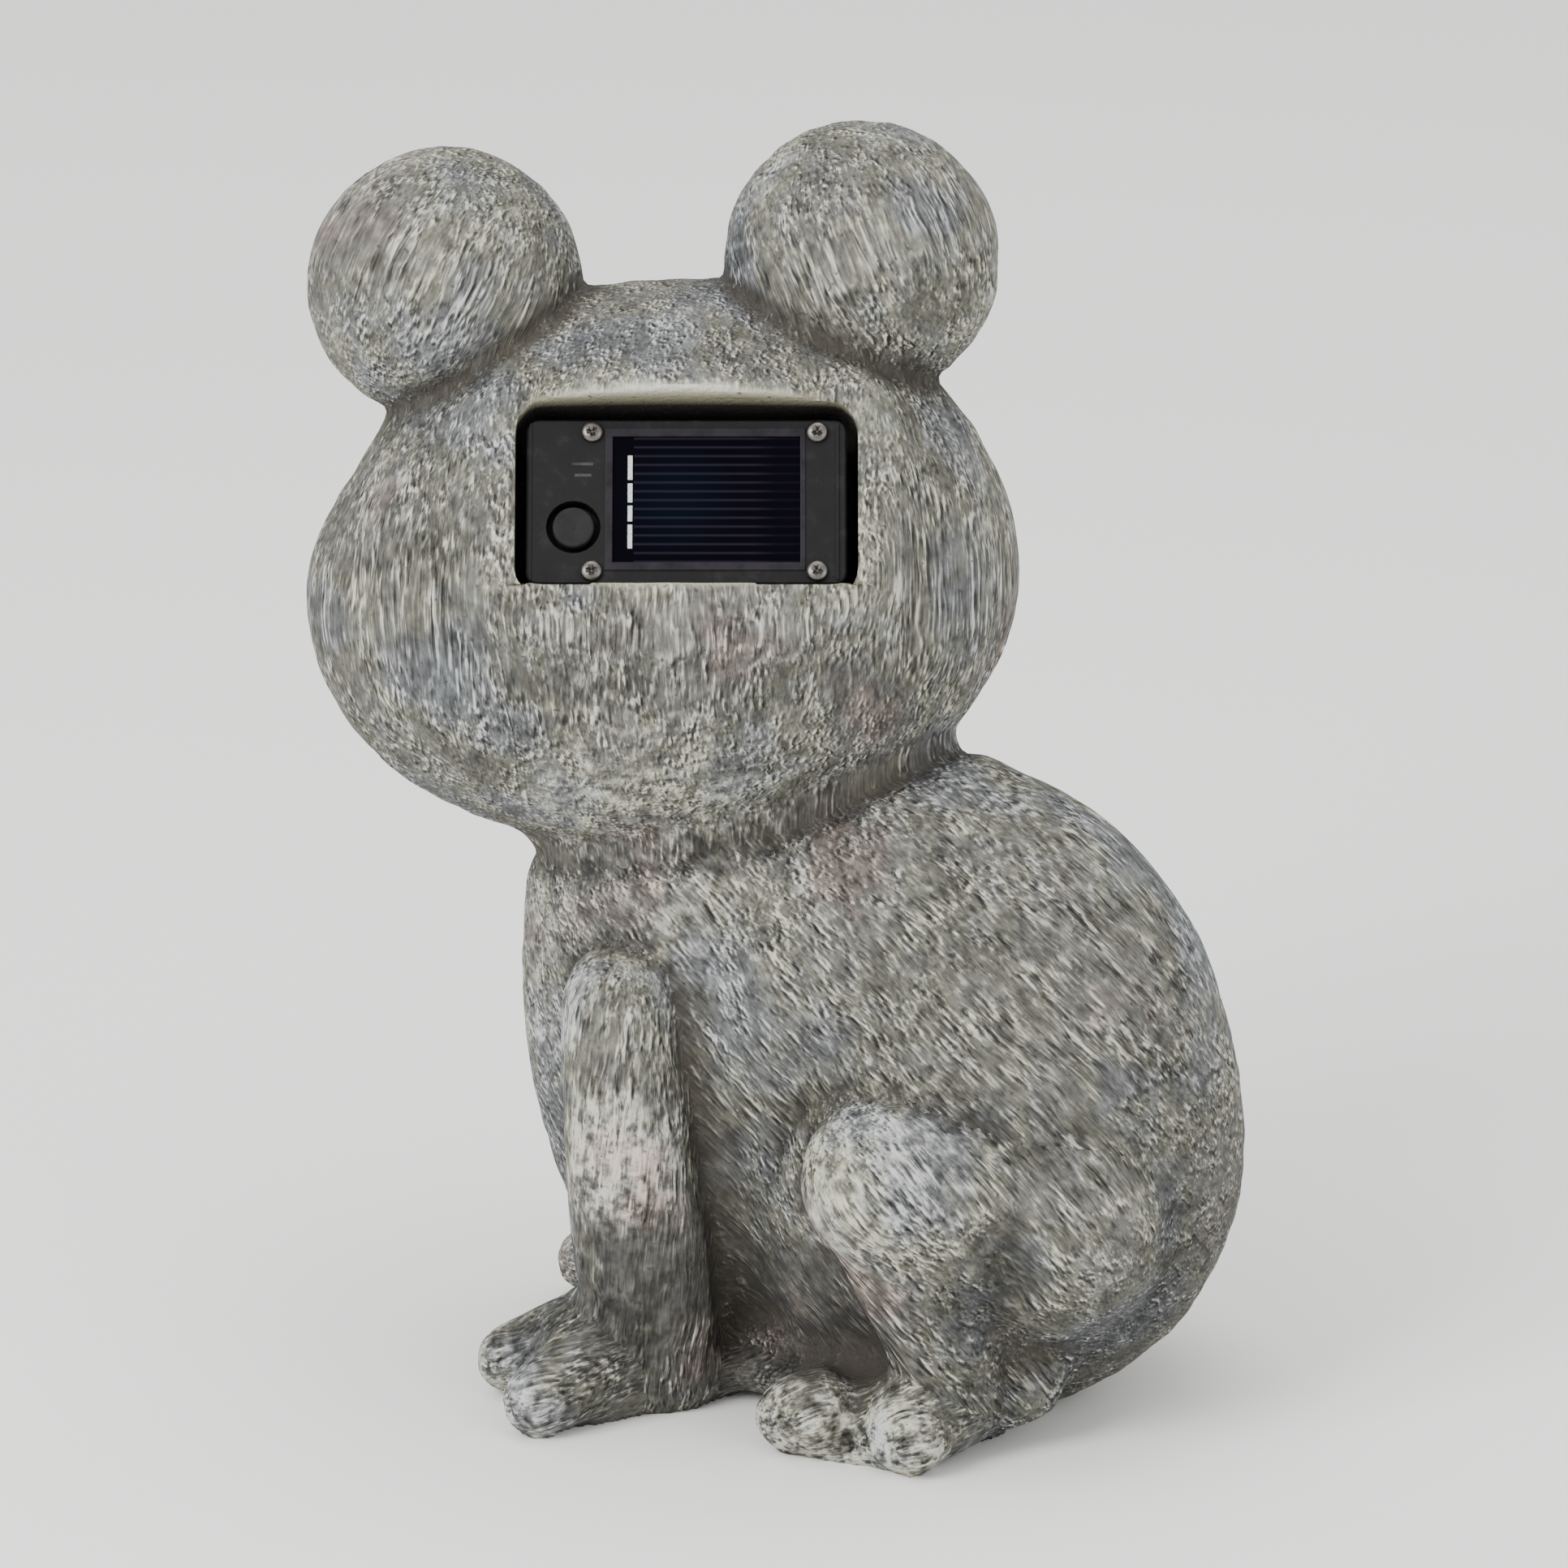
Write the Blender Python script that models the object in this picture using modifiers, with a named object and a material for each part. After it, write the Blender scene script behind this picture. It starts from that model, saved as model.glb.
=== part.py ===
"""A sitting garden frog, cast in one piece, with a small solar lamp module in the back of its head.

Metres, +Z up. The frog's face looks along -Y and its body is turned towards +X, so that it looks
over its own shoulder. The free form is drawn in parts, of which the whole figure is DRAWN_HEIGHT
high. The lamp module is in real sizes, in its own frame: +Z leaves the cover, +Y goes up its slope.
The origin is under the middle of the whole, on the ground.
"""

import math

import bmesh
import bpy
from mathutils import Matrix, Vector
from mathutils.bvhtree import BVHTree

# Driving sizes of the figure
HEIGHT = 0.278
DRAWN_HEIGHT = 278.0
PART = HEIGHT / DRAWN_HEIGHT

# Driving sizes of the lamp module
COVER_WIDTH = 0.0680
COVER_HEIGHT = 0.0364
COVER_THICKNESS = 0.0025
COVER_CORNER = 0.0025
COVER_CHAMFER = 0.0004
CASE_STEP = 0.0020
CASE_THICKNESS = 0.0110
RECESS_GAP_END = 0.0024
RECESS_GAP_SIDE = 0.0026
RECESS_CORNER = 0.0050
CELL_WIDTH = 0.0398
CELL_HEIGHT = 0.0278
CELL_THICKNESS = 0.0008
CELL_SHIFT = 0.0042
CELL_RAISE = 0.0005
CELL_SUNK = 0.0002
SCREW_INSET = 0.0028
SCREW_LEFT = 0.0201
SCREW_RIGHT = 0.0277
SCREW_HEAD_RADIUS = 0.0023
SCREW_HEAD_HEIGHT = 0.0011
SCREW_SHANK_RADIUS = 0.0011
SCREW_SHANK_LENGTH = 0.0070
BUTTON_RADIUS = 0.0044
BUTTON_RING = 0.0014
BUTTON_CAP = 0.0030
BUTTON_PROUD = 0.0002
BUTTON_STEM_RADIUS = 0.0014
BUTTON_STEM_LENGTH = 0.0040
BUTTON_TRAVEL = 0.0015
BUTTON_LEFT = 0.0240
BUTTON_DROP = 0.0056
CLEARANCE = 0.0003

# Pose of the figure
BODY_TURN = math.radians(75.0)
HEAD_ROLL = math.radians(3.7)
CHEEK_DROP = math.radians(2.0)
HEAD_CENTRE = Vector((38.9, -14.7, 177.5))
MODULE_TILT = math.radians(33.0)
MODULE_FROM_HEAD = Vector((-3.1, 39.2, 30.4))

# The face, on the far side: a wide mouth line, nostrils and eye rings
MOUTH_SPAN = math.radians(118.0)
MOUTH_FALL = math.radians(-17.0)
MOUTH_SMILE = math.radians(11.0)
MOUTH_LINE = 1.7
NOSTRIL_ASIDE = math.radians(9.0)
NOSTRIL_RISE = math.radians(3.0)
NOSTRIL_RADIUS = 2.4
EYE_RADIUS = 30.0
IRIS_RADIUS = 15.0
IRIS_LINE = 1.5
PUPIL_HALF_WIDTH = 8.0
PUPIL_HALF_HEIGHT = 3.4
GAZE_OUT = math.radians(16.0)

# Fineness of the fused surface
VOXEL = 2.0
FIGURE_TRIANGLES = 7700
BALL_SUBDIVISIONS = 4
ROUND_SEGMENTS = 24
SCREW_SEGMENTS = 16


def clear_scene():
    for obj in list(bpy.data.objects):
        bpy.data.objects.remove(obj)


def collection(name):
    made = bpy.data.collections.new(name)
    bpy.context.scene.collection.children.link(made)
    return made


def finish(name, colour, roughness, metallic=0.0):
    """A plain material for one kind of piece."""
    made = bpy.data.materials.new(name)
    made.use_nodes = True
    shader = made.node_tree.nodes["Principled BSDF"]
    shader.inputs["Base Color"].default_value = (*colour, 1.0)
    shader.inputs["Roughness"].default_value = roughness
    shader.inputs["Metallic"].default_value = metallic
    return made


def object_from(bm, name, group, material=None):
    """Ends a bmesh as a named object in its collection."""
    mesh = bpy.data.meshes.new(name)
    bm.to_mesh(mesh)
    bm.free()
    made = bpy.data.objects.new(name, mesh)
    group.objects.link(made)
    if material:
        mesh.materials.append(material)
    return made


def settle(obj):
    """Replaces the object's mesh with what its modifiers make of it."""
    bpy.context.view_layer.update()
    graph = bpy.context.evaluated_depsgraph_get()
    mesh = bpy.data.meshes.new_from_object(obj.evaluated_get(graph))
    obj.modifiers.clear()
    obj.data = mesh


def cut(obj, cutter):
    """Takes the cutter's shape out of the object."""
    cutter.hide_render = True
    cutter.display_type = "WIRE"
    boolean = obj.modifiers.new("cut by " + cutter.name, "BOOLEAN")
    boolean.operation = "DIFFERENCE"
    boolean.solver = "EXACT"
    boolean.object = cutter


# The free form, in parts of its own height

def add_ball(bm, frame, centre, radii, low=None, fore=None):
    """An ellipsoid. low is its radius downwards and fore its radius towards -Y, where they differ."""
    made = bmesh.ops.create_icosphere(bm, subdivisions=BALL_SUBDIVISIONS, radius=1.0)["verts"]
    for vert in made:
        if low is not None and vert.co.z < 0.0:
            vert.co.z *= low / radii[2]
        if fore is not None and vert.co.y < 0.0:
            vert.co.y *= fore / radii[1]
    place = frame @ Matrix.Translation(centre) @ Matrix.Diagonal((*radii, 1.0))
    bmesh.ops.transform(bm, matrix=place, verts=made)


def add_limb(bm, frame, joints):
    """A tapering limb through (point, radius) joints: a ball at each and a cone between each two."""
    for centre, radius in joints:
        add_ball(bm, frame, centre, (radius, radius, radius))
    for (start, start_radius), (end, end_radius) in zip(joints, joints[1:]):
        along = Vector(end) - Vector(start)
        turn = along.to_track_quat("Z", "Y").to_matrix().to_4x4()
        middle = (Vector(start) + Vector(end)) / 2
        bmesh.ops.create_cone(
            bm,
            cap_ends=True,
            segments=24,
            radius1=start_radius,
            radius2=end_radius,
            depth=along.length,
            matrix=frame @ Matrix.Translation(middle) @ turn,
        )


def add_web(bm, frame, centre, radii, height, turn=0.0, flare=1.0):
    """The skin between the toes: a low disc on the ground, flare times as wide at its top."""
    place = Matrix.Translation((centre[0], centre[1], 0.0)) @ Matrix.Rotation(turn, 4, "Z")
    bmesh.ops.create_cone(
        bm,
        cap_ends=True,
        segments=32,
        radius1=1.0,
        radius2=flare,
        depth=2 * height,
        matrix=frame @ place @ Matrix.Diagonal((radii[0], radii[1], 1.0, 1.0)),
    )


def body_frame(side=1.0):
    """Body axes: +X to the frog's left, +Y to its tail. side -1 mirrors it to the frog's right."""
    return Matrix.Rotation(BODY_TURN, 4, "Z") @ Matrix.Diagonal((side, 1.0, 1.0, 1.0))


def head_frame():
    return Matrix.Translation(HEAD_CENTRE) @ Matrix.Rotation(HEAD_ROLL, 4, "Y")


def add_trunk(bm):
    frame = body_frame()
    add_ball(bm, frame, (0.0, 24.0, 58.5), (48.0, 63.5, 84.5), low=63.5, fore=53.0)
    add_ball(bm, frame, (0.0, -26.0, 92.0), (35.0, 50.0, 84.0), low=88.0, fore=49.0)
    add_ball(bm, frame, (0.0, 6.0, 92.0), (42.0, 55.0, 57.0))


def add_haunches(bm):
    for side in (1.0, -1.0):
        frame = body_frame(side)
        add_limb(bm, frame, [((25.0, 51.0, 51.0), 27.0), ((44.0, 19.5, 63.0), 19.5)])
        add_limb(bm, frame, [((43.0, 21.0, 58.0), 17.0), ((36.0, 31.0, 24.0), 15.0)])


def add_forelegs(bm):
    for side in (1.0, -1.0):
        frame = body_frame(side)
        shoulder = ((34.0, -43.6, 94.0), 13.0)
        elbow = ((35.0, -41.3, 62.0), 14.5)
        wrist = ((30.0, -39.2, 34.0), 16.0)
        ankle = ((24.5, -36.5, 8.0), 14.0)
        add_limb(bm, frame, [shoulder, elbow, wrist, ankle])


def add_forefeet(bm):
    for side in (1.0, -1.0):
        frame = body_frame(side)
        add_limb(bm, frame, [((27.0, -49.0, 18.0), 9.0), ((31.5, -70.0, 8.0), 8.0)])
        add_limb(bm, frame, [((35.0, -46.0, 15.0), 11.0), ((52.5, -57.0, 7.5), 8.5)])
        add_limb(bm, frame, [((39.0, -49.0, 6.0), 9.0), ((18.0, -26.0, 6.0), 8.0)])
        add_web(bm, frame, (35.0, -53.0), (12.0, 12.0), 8.0)


def add_hind_feet(bm):
    for side in (1.0, -1.0):
        frame = body_frame(side)
        add_limb(bm, frame, [((37.0, 28.0, 15.0), 11.0), ((52.0, 25.0, 8.0), 8.5)])
        add_limb(bm, frame, [((35.0, 14.0, 12.0), 9.0), ((47.5, -1.5, 8.0), 8.5)])
        add_limb(bm, frame, [((37.0, 28.0, 13.0), 11.0), ((26.0, 36.0, 5.0), 8.0)])
        add_limb(bm, frame, [((28.0, 4.0, 10.0), 8.0), ((22.0, -14.0, 9.0), 7.5)])
        add_web(bm, frame, (42.0, 12.0), (11.0, 13.0), 9.0, flare=1.1)
        add_web(bm, frame, (34.0, 2.0), (12.0, 10.0), 6.0)


def add_head(bm):
    frame = head_frame() @ Matrix.Rotation(CHEEK_DROP, 4, "Y")
    add_ball(bm, frame, (0.0, 0.0, 0.0), (75.5, 57.0, 67.5), low=56.0)
    add_ball(bm, frame, (6.5, -4.0, 0.0), (74.5, 53.0, 52.0), low=57.0)
    add_ball(bm, frame, (0.0, -22.0, -8.0), (62.0, 50.0, 36.0), low=44.0)


def eye_centre(side):
    return Vector((side * 45.1, -10.0, 68.1))


def add_eyes(bm):
    for side in (1.0, -1.0):
        add_ball(bm, head_frame(), eye_centre(side), (EYE_RADIUS, EYE_RADIUS, EYE_RADIUS))


def fuse(obj, smoothing):
    """Makes one skin of all the overlapping forms and softens the creases between them."""
    remesh = obj.modifiers.new("fuse", "REMESH")
    remesh.mode = "VOXEL"
    remesh.voxel_size = VOXEL
    smooth = obj.modifiers.new("soften", "SMOOTH")
    smooth.factor = 0.5
    smooth.iterations = smoothing
    settle(obj)


def surface_point(tree, across, rise):
    """Where the ray from the head's centre, turned across and raised from its face, leaves it."""
    level = math.cos(rise)
    local = Vector((math.sin(across) * level, -math.cos(across) * level, math.sin(rise)))
    out = head_frame().to_3x3() @ local
    return tree.ray_cast(HEAD_CENTRE + out * 2 * DRAWN_HEIGHT, -out)[0]


def face_cutter(tree, group):
    """The mouth line, the nostrils, and the ring and pupil of each eye."""
    bm = bmesh.new()
    steps = 28
    mouth = []
    for index in range(steps + 1):
        share = 2 * index / steps - 1
        rise = MOUTH_FALL + MOUTH_SMILE * share * share
        mouth.append((surface_point(tree, share * MOUTH_SPAN / 2, rise), MOUTH_LINE))
    add_limb(bm, Matrix.Identity(4), mouth)
    for side in (1.0, -1.0):
        nostril = surface_point(tree, side * NOSTRIL_ASIDE, NOSTRIL_RISE)
        add_ball(bm, Matrix.Identity(4), nostril, (NOSTRIL_RADIUS,) * 3)
        gaze = head_frame() @ Matrix.Translation(eye_centre(side)) @ Matrix.Rotation(
            side * GAZE_OUT, 4, "Z"
        )
        front = -math.sqrt(EYE_RADIUS**2 - IRIS_RADIUS**2)
        ring = []
        for index in range(33):
            angle = 2 * math.pi * index / 32
            along = (IRIS_RADIUS * math.cos(angle), front, IRIS_RADIUS * math.sin(angle))
            ring.append((along, IRIS_LINE))
        add_limb(bm, gaze, ring)
        pupil = (PUPIL_HALF_WIDTH, 3.0, PUPIL_HALF_HEIGHT)
        add_ball(bm, gaze, (0.0, -EYE_RADIUS, 0.0), pupil)
    cutter = object_from(bm, "face cutter", group)
    remesh = cutter.modifiers.new("fuse", "REMESH")
    remesh.mode = "VOXEL"
    remesh.voxel_size = 0.6
    settle(cutter)
    return cutter


def thin_out(obj, triangles):
    """Collapses the fused skin to about this many triangles, most of them where it bends."""
    bm = bmesh.new()
    bm.from_mesh(obj.data)
    bmesh.ops.triangulate(bm, faces=bm.faces[:])
    count = len(bm.faces)
    bm.to_mesh(obj.data)
    bm.free()
    decimate = obj.modifiers.new("thin", "DECIMATE")
    decimate.ratio = min(1.0, triangles / count)
    settle(obj)


# The lamp module, in metres

def module_frame():
    """At the middle of the cover's face: +X to the viewer's right, +Y up the slope, +Z outwards."""
    place = Matrix.Translation((HEAD_CENTRE + MODULE_FROM_HEAD) * PART)
    turn = Matrix.Rotation(math.pi, 4, "Z")
    return place @ turn @ Matrix.Rotation(math.pi / 2 - MODULE_TILT, 4, "X")


def add_plate(bm, width, height, corner, bottom, top):
    """A rectangle with round corners, from bottom to top."""
    made = bmesh.ops.create_cube(bm, size=1.0)["verts"]
    scale = Matrix.Diagonal((width, height, top - bottom, 1.0))
    bmesh.ops.transform(
        bm, matrix=Matrix.Translation((0.0, 0.0, (top + bottom) / 2)) @ scale, verts=made
    )
    upright = [e for e in bm.edges if abs(e.verts[0].co.z - e.verts[1].co.z) > (top - bottom) / 2]
    bmesh.ops.bevel(
        bm,
        geom=upright,
        offset=corner,
        segments=4,
        profile=0.5,
        affect="EDGES",
        material=-1,
    )


def add_cylinder(bm, centre, radius, bottom, top, segments=ROUND_SEGMENTS):
    place = Matrix.Translation((centre[0], centre[1], (top + bottom) / 2))
    bmesh.ops.create_cone(
        bm,
        cap_ends=True,
        segments=segments,
        radius1=radius,
        radius2=radius,
        depth=top - bottom,
        matrix=place,
    )


def module_object(bm, name, group, material=None):
    made = object_from(bm, name, group, material)
    made.matrix_world = module_frame()
    return made


def screw_places():
    """Name and place of each screw on the cover's face."""
    rise = COVER_HEIGHT / 2 - SCREW_INSET
    return {
        "screw_upper_left": (-SCREW_LEFT, rise),
        "screw_upper_right": (SCREW_RIGHT, rise),
        "screw_lower_left": (-SCREW_LEFT, -rise),
        "screw_lower_right": (SCREW_RIGHT, -rise),
    }


def button_floor():
    """How deep the button's well goes under the cover's face."""
    return BUTTON_CAP - BUTTON_PROUD + BUTTON_TRAVEL + CLEARANCE


def build_housing(group, cutters, plastic):
    bm = bmesh.new()
    add_plate(bm, COVER_WIDTH, COVER_HEIGHT, COVER_CORNER, -COVER_THICKNESS, 0.0)
    back = min(bm.faces, key=lambda face: face.calc_center_median().z)
    bmesh.ops.inset_region(bm, faces=[back], thickness=CASE_STEP, depth=0.0)
    grown = bmesh.ops.extrude_face_region(bm, geom=[back])
    moved = [item for item in grown["geom"] if isinstance(item, bmesh.types.BMVert)]
    bmesh.ops.translate(bm, verts=moved, vec=(0.0, 0.0, -CASE_THICKNESS))
    bmesh.ops.delete(bm, geom=[back], context="FACES_ONLY")
    rim = [edge for edge in bm.edges if all(abs(vert.co.z) < 1e-6 for vert in edge.verts)]
    bmesh.ops.bevel(
        bm,
        geom=rim,
        offset=COVER_CHAMFER,
        segments=1,
        profile=0.5,
        affect="EDGES",
        material=-1,
    )
    housing = module_object(bm, "panel_housing", group, plastic)

    holes = bmesh.new()
    over = COVER_THICKNESS
    for x, y in screw_places().values():
        radius = SCREW_SHANK_RADIUS + CLEARANCE
        add_cylinder(holes, (x, y), radius, -SCREW_SHANK_LENGTH - CLEARANCE, over, segments=12)
    well = BUTTON_RADIUS + BUTTON_RING
    add_cylinder(holes, (-BUTTON_LEFT, -BUTTON_DROP), well, -button_floor(), over)
    bores = module_object(holes, "round cutter", cutters)
    cut(housing, bores)

    guide = bmesh.new()
    bottom = -(BUTTON_CAP - BUTTON_PROUD + BUTTON_STEM_LENGTH + BUTTON_TRAVEL + CLEARANCE)
    radius = BUTTON_STEM_RADIUS + CLEARANCE
    add_cylinder(guide, (-BUTTON_LEFT, -BUTTON_DROP), radius, bottom, over, segments=16)
    cut(housing, module_object(guide, "stem cutter", cutters))

    window = bmesh.new()
    add_plate(
        window,
        CELL_WIDTH + 2 * CLEARANCE,
        CELL_HEIGHT + 2 * CLEARANCE,
        2 * CLEARANCE,
        -(CELL_SUNK + CELL_THICKNESS + CLEARANCE),
        over,
    )
    bmesh.ops.translate(window, verts=window.verts, vec=(CELL_SHIFT, CELL_RAISE, 0.0))
    cut(housing, module_object(window, "window cutter", cutters))


def build_cell(group, glass):
    bm = bmesh.new()
    top = -CELL_SUNK
    add_plate(bm, CELL_WIDTH, CELL_HEIGHT, CLEARANCE, top - CELL_THICKNESS, top)
    bmesh.ops.translate(bm, verts=bm.verts, vec=(CELL_SHIFT, CELL_RAISE, 0.0))
    module_object(bm, "solar_cell", group, glass)


def build_button(group, rubber):
    bm = bmesh.new()
    cap_bottom = BUTTON_PROUD - BUTTON_CAP
    add_cylinder(bm, (0.0, 0.0), BUTTON_RADIUS, cap_bottom, BUTTON_PROUD)
    under = min(bm.faces, key=lambda face: face.calc_center_median().z)
    bmesh.ops.inset_region(bm, faces=[under], thickness=BUTTON_RADIUS - BUTTON_STEM_RADIUS)
    grown = bmesh.ops.extrude_face_region(bm, geom=[under])
    moved = [item for item in grown["geom"] if isinstance(item, bmesh.types.BMVert)]
    bmesh.ops.translate(bm, verts=moved, vec=(0.0, 0.0, -BUTTON_STEM_LENGTH))
    bmesh.ops.delete(bm, geom=[under], context="FACES_ONLY")
    button = object_from(bm, "push_button", group, rubber)
    button.matrix_world = module_frame() @ Matrix.Translation((-BUTTON_LEFT, -BUTTON_DROP, 0.0))


def build_screws(group, steel):
    for name, (x, y) in screw_places().items():
        bm = bmesh.new()
        top = CLEARANCE + SCREW_HEAD_HEIGHT
        add_cylinder(bm, (0.0, 0.0), SCREW_HEAD_RADIUS, CLEARANCE, top, segments=SCREW_SEGMENTS)
        under = min(bm.faces, key=lambda face: face.calc_center_median().z)
        upper = max(bm.faces, key=lambda face: face.calc_center_median().z)
        bmesh.ops.inset_region(
            bm, faces=[under], thickness=SCREW_HEAD_RADIUS - SCREW_SHANK_RADIUS
        )
        grown = bmesh.ops.extrude_face_region(bm, geom=[under])
        moved = [item for item in grown["geom"] if isinstance(item, bmesh.types.BMVert)]
        bmesh.ops.translate(bm, verts=moved, vec=(0.0, 0.0, -SCREW_SHANK_LENGTH - CLEARANCE))
        bmesh.ops.delete(bm, geom=[under], context="FACES_ONLY")
        bmesh.ops.bevel(
            bm,
            geom=list(upper.edges),
            offset=SCREW_HEAD_HEIGHT / 2,
            segments=1,
            profile=0.5,
            affect="EDGES",
            material=-1,
        )
        screw = object_from(bm, name, group, steel)
        screw.matrix_world = module_frame() @ Matrix.Translation((x, y, 0.0))


def recess_cutter(cutters):
    """The pocket for the module, open outwards through the back of the head."""
    bm = bmesh.new()
    add_plate(
        bm,
        COVER_WIDTH + 2 * RECESS_GAP_END,
        COVER_HEIGHT + 2 * RECESS_GAP_SIDE,
        RECESS_CORNER,
        -(COVER_THICKNESS + CASE_THICKNESS + CLEARANCE),
        COVER_HEIGHT,
    )
    return module_object(bm, "recess cutter", cutters)


def ground_cutter(cutters):
    """Everything under the ground, so that the figure stands on flat feet and a flat rump."""
    bm = bmesh.new()
    bmesh.ops.create_cube(
        bm, size=HEIGHT, matrix=Matrix.Translation((0.0, 0.0, -HEIGHT / 2))
    )
    return object_from(bm, "ground cutter", cutters)


def build_frog(group, cutters, stone):
    soft = bmesh.new()
    add_trunk(soft)
    add_haunches(soft)
    add_forelegs(soft)
    torso = object_from(soft, "torso", cutters)
    fuse(torso, smoothing=4)

    whole = bmesh.new()
    whole.from_mesh(torso.data)
    bpy.data.objects.remove(torso)
    add_forefeet(whole)
    add_hind_feet(whole)
    add_head(whole)
    add_eyes(whole)
    frog = object_from(whole, "frog", group)
    fuse(frog, smoothing=3)

    skin = bmesh.new()
    skin.from_mesh(frog.data)
    face = face_cutter(BVHTree.FromBMesh(skin), cutters)
    skin.free()
    cut(frog, face)
    settle(frog)
    bpy.data.objects.remove(face)

    thin_out(frog, FIGURE_TRIANGLES)
    frog.data.transform(Matrix.Scale(PART, 4))
    frog.data.materials.clear()
    frog.data.materials.append(stone)
    frog.data.shade_smooth()
    frog.data.set_sharp_from_angle(angle=math.radians(50.0))
    cut(frog, ground_cutter(cutters))
    cut(frog, recess_cutter(cutters))
    return frog


def stand_on_origin(frog, groups):
    """Hangs every piece and cutter on one empty, which brings the middle of the whole over 0, 0."""
    bpy.context.view_layer.update()
    graph = bpy.context.evaluated_depsgraph_get()
    corners = [Vector(corner) for corner in frog.evaluated_get(graph).bound_box]
    middle = (corners[0] + corners[6]) / 2
    root = bpy.data.objects.new("solar frog statue", None)
    for group in groups:
        for obj in group.objects:
            obj.parent = root
    groups[0].objects.link(root)
    root.location = (-middle.x, -middle.y, 0.0)


def main():
    clear_scene()
    model = collection("solar_frog_statue")
    cutters = collection("cutters")
    stone = finish("cast stone", (0.21, 0.21, 0.19), 0.9)
    plastic = finish("black plastic", (0.025, 0.025, 0.026), 0.5)
    rubber = finish("black rubber", (0.02, 0.02, 0.02), 0.75)
    glass = finish("cell glass", (0.008, 0.009, 0.022), 0.15)
    steel = finish("screw steel", (0.6, 0.6, 0.6), 0.25, metallic=1.0)
    frog = build_frog(model, cutters, stone)
    build_housing(model, cutters, plastic)
    build_cell(model, glass)
    build_button(model, rubber)
    build_screws(model, steel)
    stand_on_origin(frog, (model, cutters))


main()
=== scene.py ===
# %% [markdown]
# # A solar frog statue, dressed for its picture
# The real object is a garden frog about 28 cm tall, cast in one piece from a stone-like resin.
# Its maker cut hair-fine strokes into the mould, washed the cast with a dark stain and then
# dragged an almost dry brush of off-white paint over it. A small black lamp module with a solar
# cell sits in a recess in the back of its head. The frame brings the measured solids. This file
# gives every piece the surface that the eye expects from a step away.

# %% Load the measured frame
import math
import bmesh
import bpy
import numpy as np
from mathutils import Matrix, Vector, noise


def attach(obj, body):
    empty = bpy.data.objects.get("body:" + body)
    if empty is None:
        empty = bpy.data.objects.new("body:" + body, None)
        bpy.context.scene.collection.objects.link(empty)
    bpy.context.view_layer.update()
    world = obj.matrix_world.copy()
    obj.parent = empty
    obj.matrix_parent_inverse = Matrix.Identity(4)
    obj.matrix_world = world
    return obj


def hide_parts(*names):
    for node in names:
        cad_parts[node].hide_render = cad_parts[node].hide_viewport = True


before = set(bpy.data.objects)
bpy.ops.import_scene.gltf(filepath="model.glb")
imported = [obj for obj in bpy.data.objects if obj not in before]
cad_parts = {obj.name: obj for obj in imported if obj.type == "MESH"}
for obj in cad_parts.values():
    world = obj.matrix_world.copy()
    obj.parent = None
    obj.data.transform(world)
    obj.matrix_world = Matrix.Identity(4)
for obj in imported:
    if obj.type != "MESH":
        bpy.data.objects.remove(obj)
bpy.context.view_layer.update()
MM = 0.001
scene = bpy.context.scene
print("nodes:", sorted(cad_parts))

# %% [markdown]
# ## Where the camera stands
# The photograph looks at the frog's side and at the back of its head, from a little above. A long
# lens two metres away gives the same slight perspective. The aim point is the middle of the
# picture.

# %% Camera
LENS, DISTANCE, ELEVATION = 207.04, 2.0, math.radians(18)
BACK = Vector((0, math.cos(ELEVATION), math.sin(ELEVATION)))
AIM = Vector((-0.0018, -0.0304, 0.1239))
camera = bpy.data.objects.new("camera", bpy.data.cameras.new("camera"))
camera.data.lens, camera.data.sensor_width = LENS, 36.0
camera.location = AIM + BACK * DISTANCE
camera.rotation_mode = "QUATERNION"
camera.rotation_quaternion = (-BACK).to_track_quat("-Z", "Y")
scene.collection.objects.link(camera)
scene.camera = camera
print("camera at", [round(value, 3) for value in camera.location])

# %% [markdown]
# ## Helpers for materials
# Colours are written as the hex numbers that a colour picker shows, and the renderer wants linear
# light, so one function turns them. A second one adds a node, its settings and its links in a
# line, whatever the node's kind. The settings that come up again and again get short names.

# %% Colour and node helpers
def linear(code):
    """The linear colour, with alpha, of an sRGB hex code such as '8a8a84'."""
    parts = [int(code[place:place + 2], 16) / 255 for place in (0, 2, 4)]
    curve = [p / 12.92 if p <= 0.04045 else ((p + 0.055) / 1.055) ** 2.4 for p in parts]
    return (*curve, 1.0)


def add(tree, kind, settings=None, out=0, **inputs):
    """Adds a node and gives one of its outputs. Settings are its properties, and a ramp's stops
    are (place, hex code or grey). Inputs are socket names, or i and a number, each given a value,
    a hex code or another node's output."""
    node = tree.nodes.new("ShaderNode" + kind)
    for name, value in (settings or {}).items():
        if name != "stops":
            setattr(node, name, value)
            continue
        while len(node.color_ramp.elements) < len(value):
            node.color_ramp.elements.new(0.5)
        for element, (place, shade) in zip(node.color_ramp.elements, value):
            element.position = place
            element.color = linear(shade) if isinstance(shade, str) else (shade,) * 3 + (1.0,)
    for name, value in inputs.items():
        socket = node.inputs[int(name[1:]) if name[1:].isdigit() else name.replace("_", " ")]
        if isinstance(value, bpy.types.NodeSocket):
            tree.links.new(value, socket)
        else:
            socket.default_value = linear(value) if isinstance(value, str) else value
    return None if out is None else node.outputs[out]


TIMES, PLUS, MINUS = ({"operation": word} for word in ("MULTIPLY", "ADD", "SUBTRACT"))
BLEND, TINT = ({"data_type": "RGBA", "blend_type": word} for word in ("MIX", "MULTIPLY"))


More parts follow.
